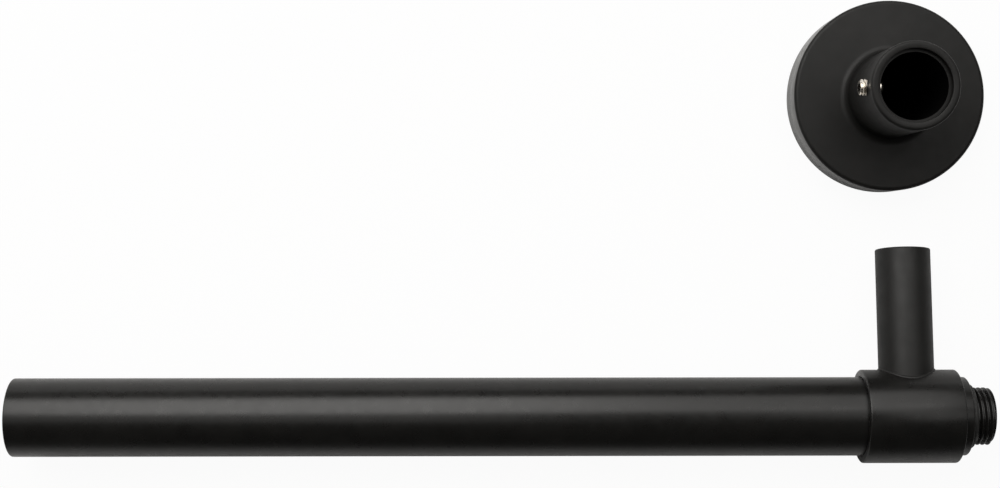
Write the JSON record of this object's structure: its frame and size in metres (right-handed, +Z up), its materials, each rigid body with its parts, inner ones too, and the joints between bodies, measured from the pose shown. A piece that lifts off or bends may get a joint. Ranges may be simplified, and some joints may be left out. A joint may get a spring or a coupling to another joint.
{
  "type": "shower arm extension",
  "caption": "Straight black riser tube with a threaded outlet, a swivelling wall-support collar with a stub, and a round wall flange with a hub socket and set screw.",
  "frame": {"origin": "on the surface that everything lies on, under the middle of the bounding box", "axes": "+X along the tube to the threaded outlet, +Y from the tube towards the wall flange, +Z up"},
  "size_m": [0.3573, 0.1696, 0.053],
  "materials": {
    "black_coating": "satin black coating on brass",
    "bare_brass": "turned",
    "rubber": "moulded",
    "nylon": "natural",
    "screw_steel": "bright nickel"
  },
  "bodies": {
    "extension": {"extension_tube": "black_coating", "outlet_nipple": "black_coating", "outlet_seal": "rubber", "inlet_socket": "bare_brass", "inlet_washer": "rubber", "retaining_ring": "nylon", "wall_flange": "black_coating", "set_screw": "screw_steel"},
    "bracket": {"support_collar": "black_coating", "collar_seal_inlet": "rubber", "collar_seal_outlet": "rubber", "support_stub": "black_coating"}
  },
  "joints": [
    {"name": "collar_swivel", "type": "hinge", "parent": "extension", "child": "bracket", "pos_m": [0.14821, -0.0678, 0.01714], "axis": [1, 0, 0.0087], "continuous": true}
  ]
}
